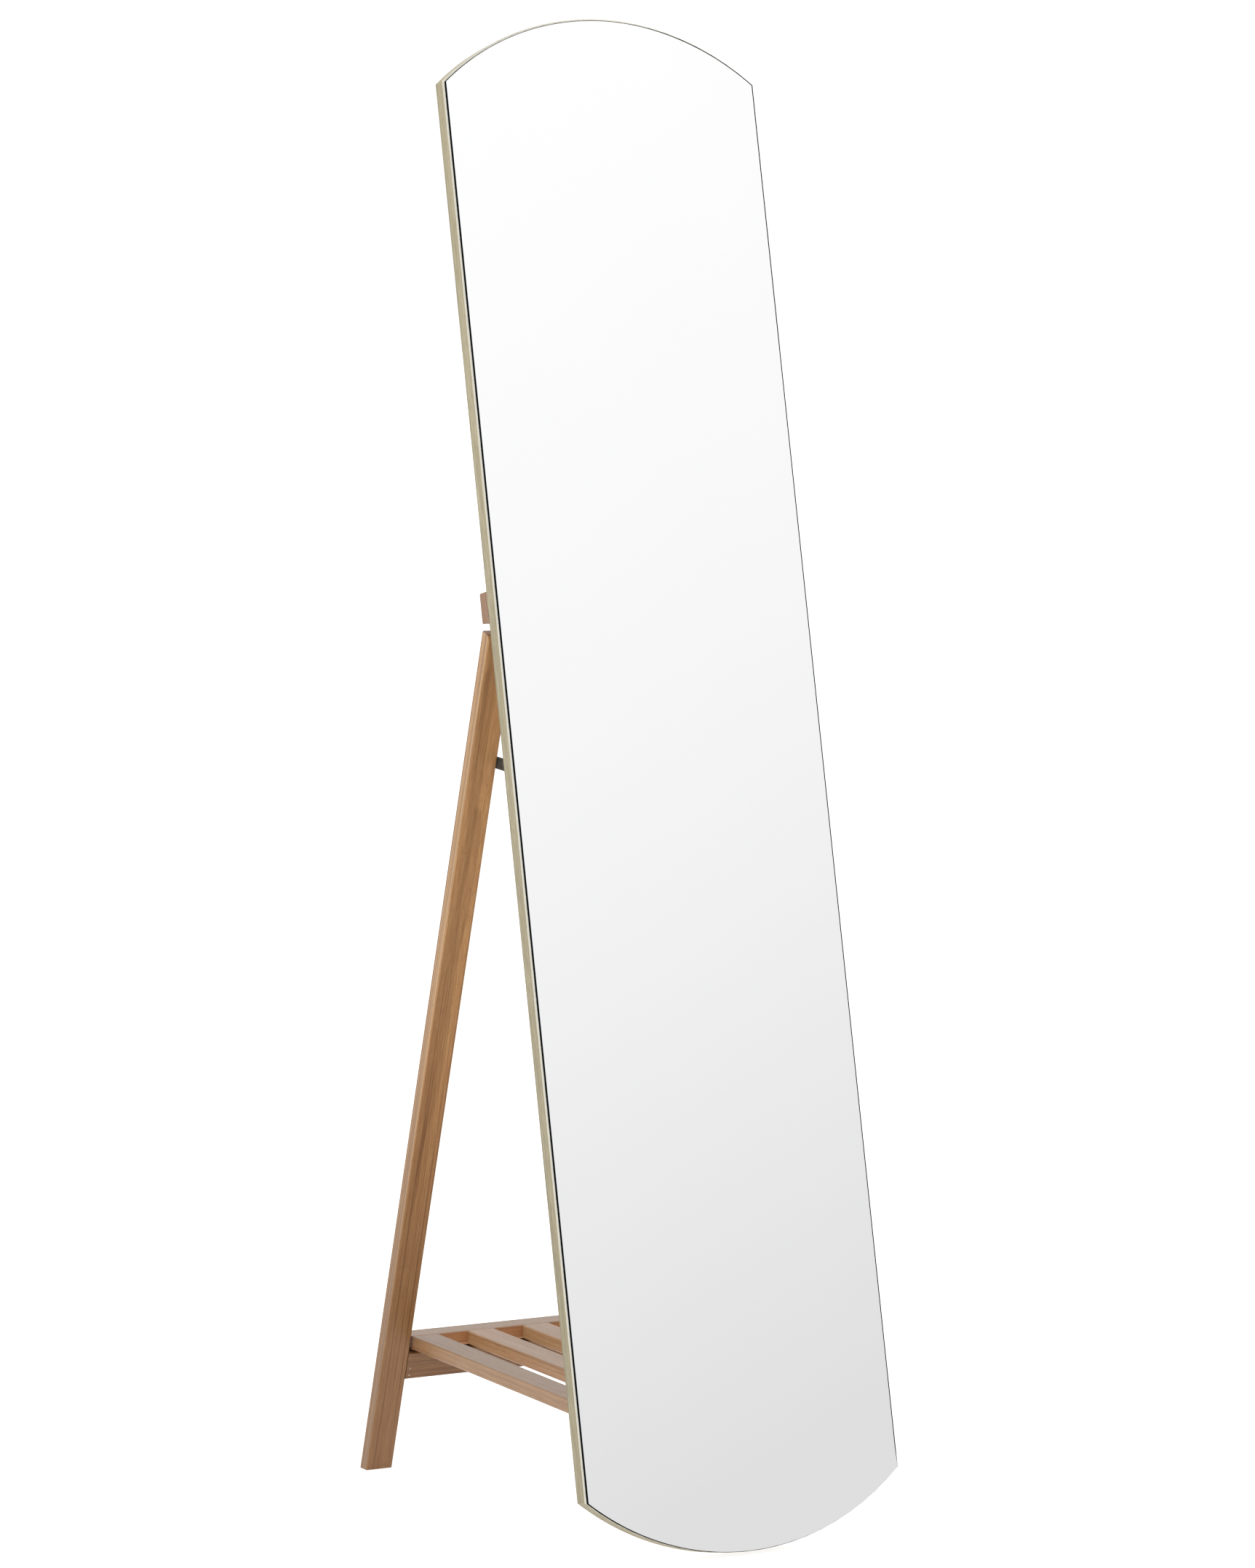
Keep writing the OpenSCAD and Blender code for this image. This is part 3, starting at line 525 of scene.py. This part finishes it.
# each slat is cut from another part of the timber: tone, shift, pith and ring width all differ; the
# first slat's darker tone is painted shade, cancelling the light on its open outer side
SLAT_TONES_AND_SHADE = (0.80, 1.0, 0.96, 0.9, 1.02)
SLATS = [f"shelf_slat_{i + 1}" for i in range(len(SLAT_TONES_AND_SHADE))]
for i, name in enumerate(SLATS):
    shift = (130.0 - 64.0 * i + 11.0 * i * i, -150.0 + 23.0 * i, 1300.0 * (i + 1))
    pith = (33.0 + 7.0 * ((i * 2) % 5), 55.0 + 6.0 * ((i * 3) % 5))
    dress(name, wood(f"acacia_slat_{i + 1}", X, Z, Y, stain(ACACIA_SHELF, SLAT_TONES_AND_SHADE[i]),
                     shift, pith, 3.1 + 0.2 * i, Z))
dress("rail_dowels", wood("beech_rail_dowels", LEG_UP, LEG_BACK, X, BEECH, (0.0, 0.0, 0.0)))
dress("shelf_dowels", wood("beech_shelf_dowels", X, Z, Y, BEECH, (0.0, 0.0, 600.0)))

dress("left_edge_band", veneer("veneer_left", straight_run(1.3)))
dress("right_edge_band", veneer("veneer_right", straight_run(7.9)))
TOP_CENTRE = ARC_RISE + STRAIGHT_H + ARC_RISE - ARC_R
dress("top_edge_band", veneer("veneer_top", arc_run(13.1, TOP_CENTRE, 1.0)))
dress("bottom_edge_band", veneer("veneer_bottom", arc_run(19.7, ARC_R, -1.0)))
dress("backing_board", melamine())
dress("mirror_glass", mirror())
dress("adhesive_strips", foam_tape())

HINGE_LIGHT, HINGE_DARK = linear(196, 195, 190), linear(140, 139, 136)
SCREW_LIGHT, SCREW_DARK = linear(214, 212, 204), linear(150, 148, 140)
hinge_steel = zinc("hinge_zinc", HINGE_LIGHT, HINGE_DARK)
pin_steel = zinc("pin_steel", SCREW_LIGHT, HINGE_DARK, stretch=0.05, rough=0.26)
screw_steel = zinc("screw_zinc", SCREW_LIGHT, SCREW_DARK, stretch=1.2, rough=0.30)
nail_steel = zinc("nail_steel", linear(196, 190, 180), SCREW_DARK, stretch=1.5, rough=0.28)
coat = black_steel()
for name in nodes:
    if name.endswith("_leaf"):
        dress(name, hinge_steel)
    elif name.endswith("_pins"):
        dress(name, pin_steel)
    elif name == "lower_rail_nails":
        dress(name, nail_steel)
    elif name != "stay_leg_screws" and name.endswith(("_screws", "_washers")):
        dress(name, screw_steel)
    elif "stay" in name:
        dress(name, coat)

RAILS = ["top_rail", "lower_rail", "rear_batten", "shelf_rear_rail", "shelf_front_rail"]
for name in ["left_leg", "right_leg"] + RAILS + SLATS:
    soften(name)


# ---------------------------------------------------------------- camera
CAM_PLACE = Vector((-2.62223, -4.89316, 1.30589))
CAM_YAW = math.radians(28.1866)
CAM_PITCH = math.radians(5.9160)
CAM_ROLL = math.radians(-0.1169)
SENSOR = 36.0
LENS = 128.006

level = math.cos(CAM_PITCH)
ahead = Vector((math.sin(CAM_YAW) * level, math.cos(CAM_YAW) * level, -math.sin(CAM_PITCH)))
right = Vector((math.cos(CAM_YAW), -math.sin(CAM_YAW), 0))
up = right.cross(ahead)
right, up = (right * math.cos(CAM_ROLL) - up * math.sin(CAM_ROLL),
             up * math.cos(CAM_ROLL) + right * math.sin(CAM_ROLL))
cam_data = bpy.data.cameras.new("camera")
cam = bpy.data.objects.new("camera", cam_data)
bpy.context.scene.collection.objects.link(cam)
cam_data.sensor_width = SENSOR
cam_data.lens = LENS
cam_data.clip_end = 100
cam.matrix_world = Matrix((
    (right.x, up.x, -ahead.x, CAM_PLACE.x),
    (right.y, up.y, -ahead.y, CAM_PLACE.y),
    (right.z, up.z, -ahead.z, CAM_PLACE.z),
    (0, 0, 0, 1)))
bpy.context.scene.camera = cam


# ---------------------------------------------------------------- floor, light and surroundings
FLOOR_HALF = 40.0               # metres
FLOOR_DARK, FLOOR_LIGHT = (0.47, 0.47, 0.47, 1), (0.49, 0.49, 0.49, 1)
FLOOR_GLOW = 0.80


def make_floor():
    mesh = bpy.data.meshes.new("floor")
    corners = [(x * FLOOR_HALF, y * FLOOR_HALF, 0) for x, y in ((-1, -1), (1, -1), (1, 1), (-1, 1))]
    mesh.from_pydata(corners, [], [(0, 1, 2, 3)])
    ob = bpy.data.objects.new("floor", mesh)
    bpy.context.scene.collection.objects.link(ob)
    t = Tree("floor_pale")
    grain = t.noise(t.combine(*t.axes(X, Y, Z)), 0.02, 3.0, 0.5)
    t.link(t.mix(grain, FLOOR_DARK, FLOOR_LIGHT), t.shader.inputs["Base Color"])
    t.shader.inputs["Roughness"].default_value = 0.9
    t.shader.inputs["Specular IOR Level"].default_value = 0.1
    # much of its brightness is its own, so soft shadows nearly vanish
    t.shader.inputs["Emission Color"].default_value = (1, 1, 1, 1)
    t.shader.inputs["Emission Strength"].default_value = FLOOR_GLOW
    ob.data.materials.append(t.material)


def area_light(name, place, target, size, energy):
    data = bpy.data.lights.new(name, "AREA")
    data.shape = "SQUARE"
    data.size = size
    data.energy = energy
    ob = bpy.data.objects.new(name, data)
    bpy.context.scene.collection.objects.link(ob)
    ob.location = place
    ob.rotation_euler = (Vector(target) - Vector(place)).to_track_quat("-Z", "Y").to_euler()


WORLD_STRENGTH = 1.06
# brightness of the studio in front of the mirror, from near the floor line upwards
WALL_FADE = ((0.0, 0.762), (0.05, 0.838), (0.10, 0.912), (0.15, 0.965), (0.20, 1.0), (0.26, 1.04))
WALL_SKEW = -0.45               # the fade climbs towards the right
WALL_LIFT = 0.06
WALL_EDGE = -0.4                # how far towards the front the fade is complete


def make_world():
    """White all round, fading to light grey low down in front, where the mirror looks."""
    world = bpy.data.worlds.new("studio")
    bpy.context.scene.world = world
    world.use_nodes = True
    nt = world.node_tree
    nt.nodes.clear()
    out = nt.nodes.new("ShaderNodeOutputWorld")
    back = nt.nodes.new("ShaderNodeBackground")
    coord = nt.nodes.new("ShaderNodeTexCoord")
    sep = nt.nodes.new("ShaderNodeSeparateXYZ")
    nt.links.new(coord.outputs["Generated"], sep.inputs[0])
    skew = nt.nodes.new("ShaderNodeMath")
    skew.operation = "MULTIPLY_ADD"
    nt.links.new(sep.outputs["X"], skew.inputs[0])
    skew.inputs[1].default_value = WALL_SKEW
    skew.inputs[2].default_value = WALL_LIFT
    height = nt.nodes.new("ShaderNodeMath")
    height.operation = "ADD"
    nt.links.new(skew.outputs[0], height.inputs[0])
    nt.links.new(sep.outputs["Z"], height.inputs[1])
    ramp = nt.nodes.new("ShaderNodeValToRGB")
    nt.links.new(height.outputs[0], ramp.inputs[0])
    elements = ramp.color_ramp.elements
    for i, (place, grey) in enumerate(WALL_FADE):
        stop = elements[i] if i < len(elements) else elements.new(place)
        stop.position = place
        stop.color = (*[grey / WORLD_STRENGTH] * 3, 1)
    front = nt.nodes.new("ShaderNodeMapRange")
    front.interpolation_type = "SMOOTHSTEP"
    nt.links.new(sep.outputs["Y"], front.inputs["Value"])
    front.inputs["From Min"].default_value = 0.0
    front.inputs["From Max"].default_value = WALL_EDGE
    mix = nt.nodes.new("ShaderNodeMix")
    mix.data_type = "RGBA"
    nt.links.new(front.outputs["Result"], mix.inputs[0])
    mix.inputs[6].default_value = (1, 1, 1, 1)
    nt.links.new(ramp.outputs["Color"], mix.inputs[7])
    nt.links.new(mix.outputs[2], back.inputs["Color"])
    back.inputs["Strength"].default_value = WORLD_STRENGTH
    nt.links.new(back.outputs[0], out.inputs[0])


make_floor()
make_world()
area_light("key", (-3.4, -1.2, 3.0), (0, 0, 0.6), 2.4, 14.0)
area_light("top", (-0.4, 0.9, 4.2), (0, 0.1, 0.3), 2.6, 30.0)
bpy.context.scene.view_settings.view_transform = "Standard"
bpy.context.scene.view_settings.look = "None"
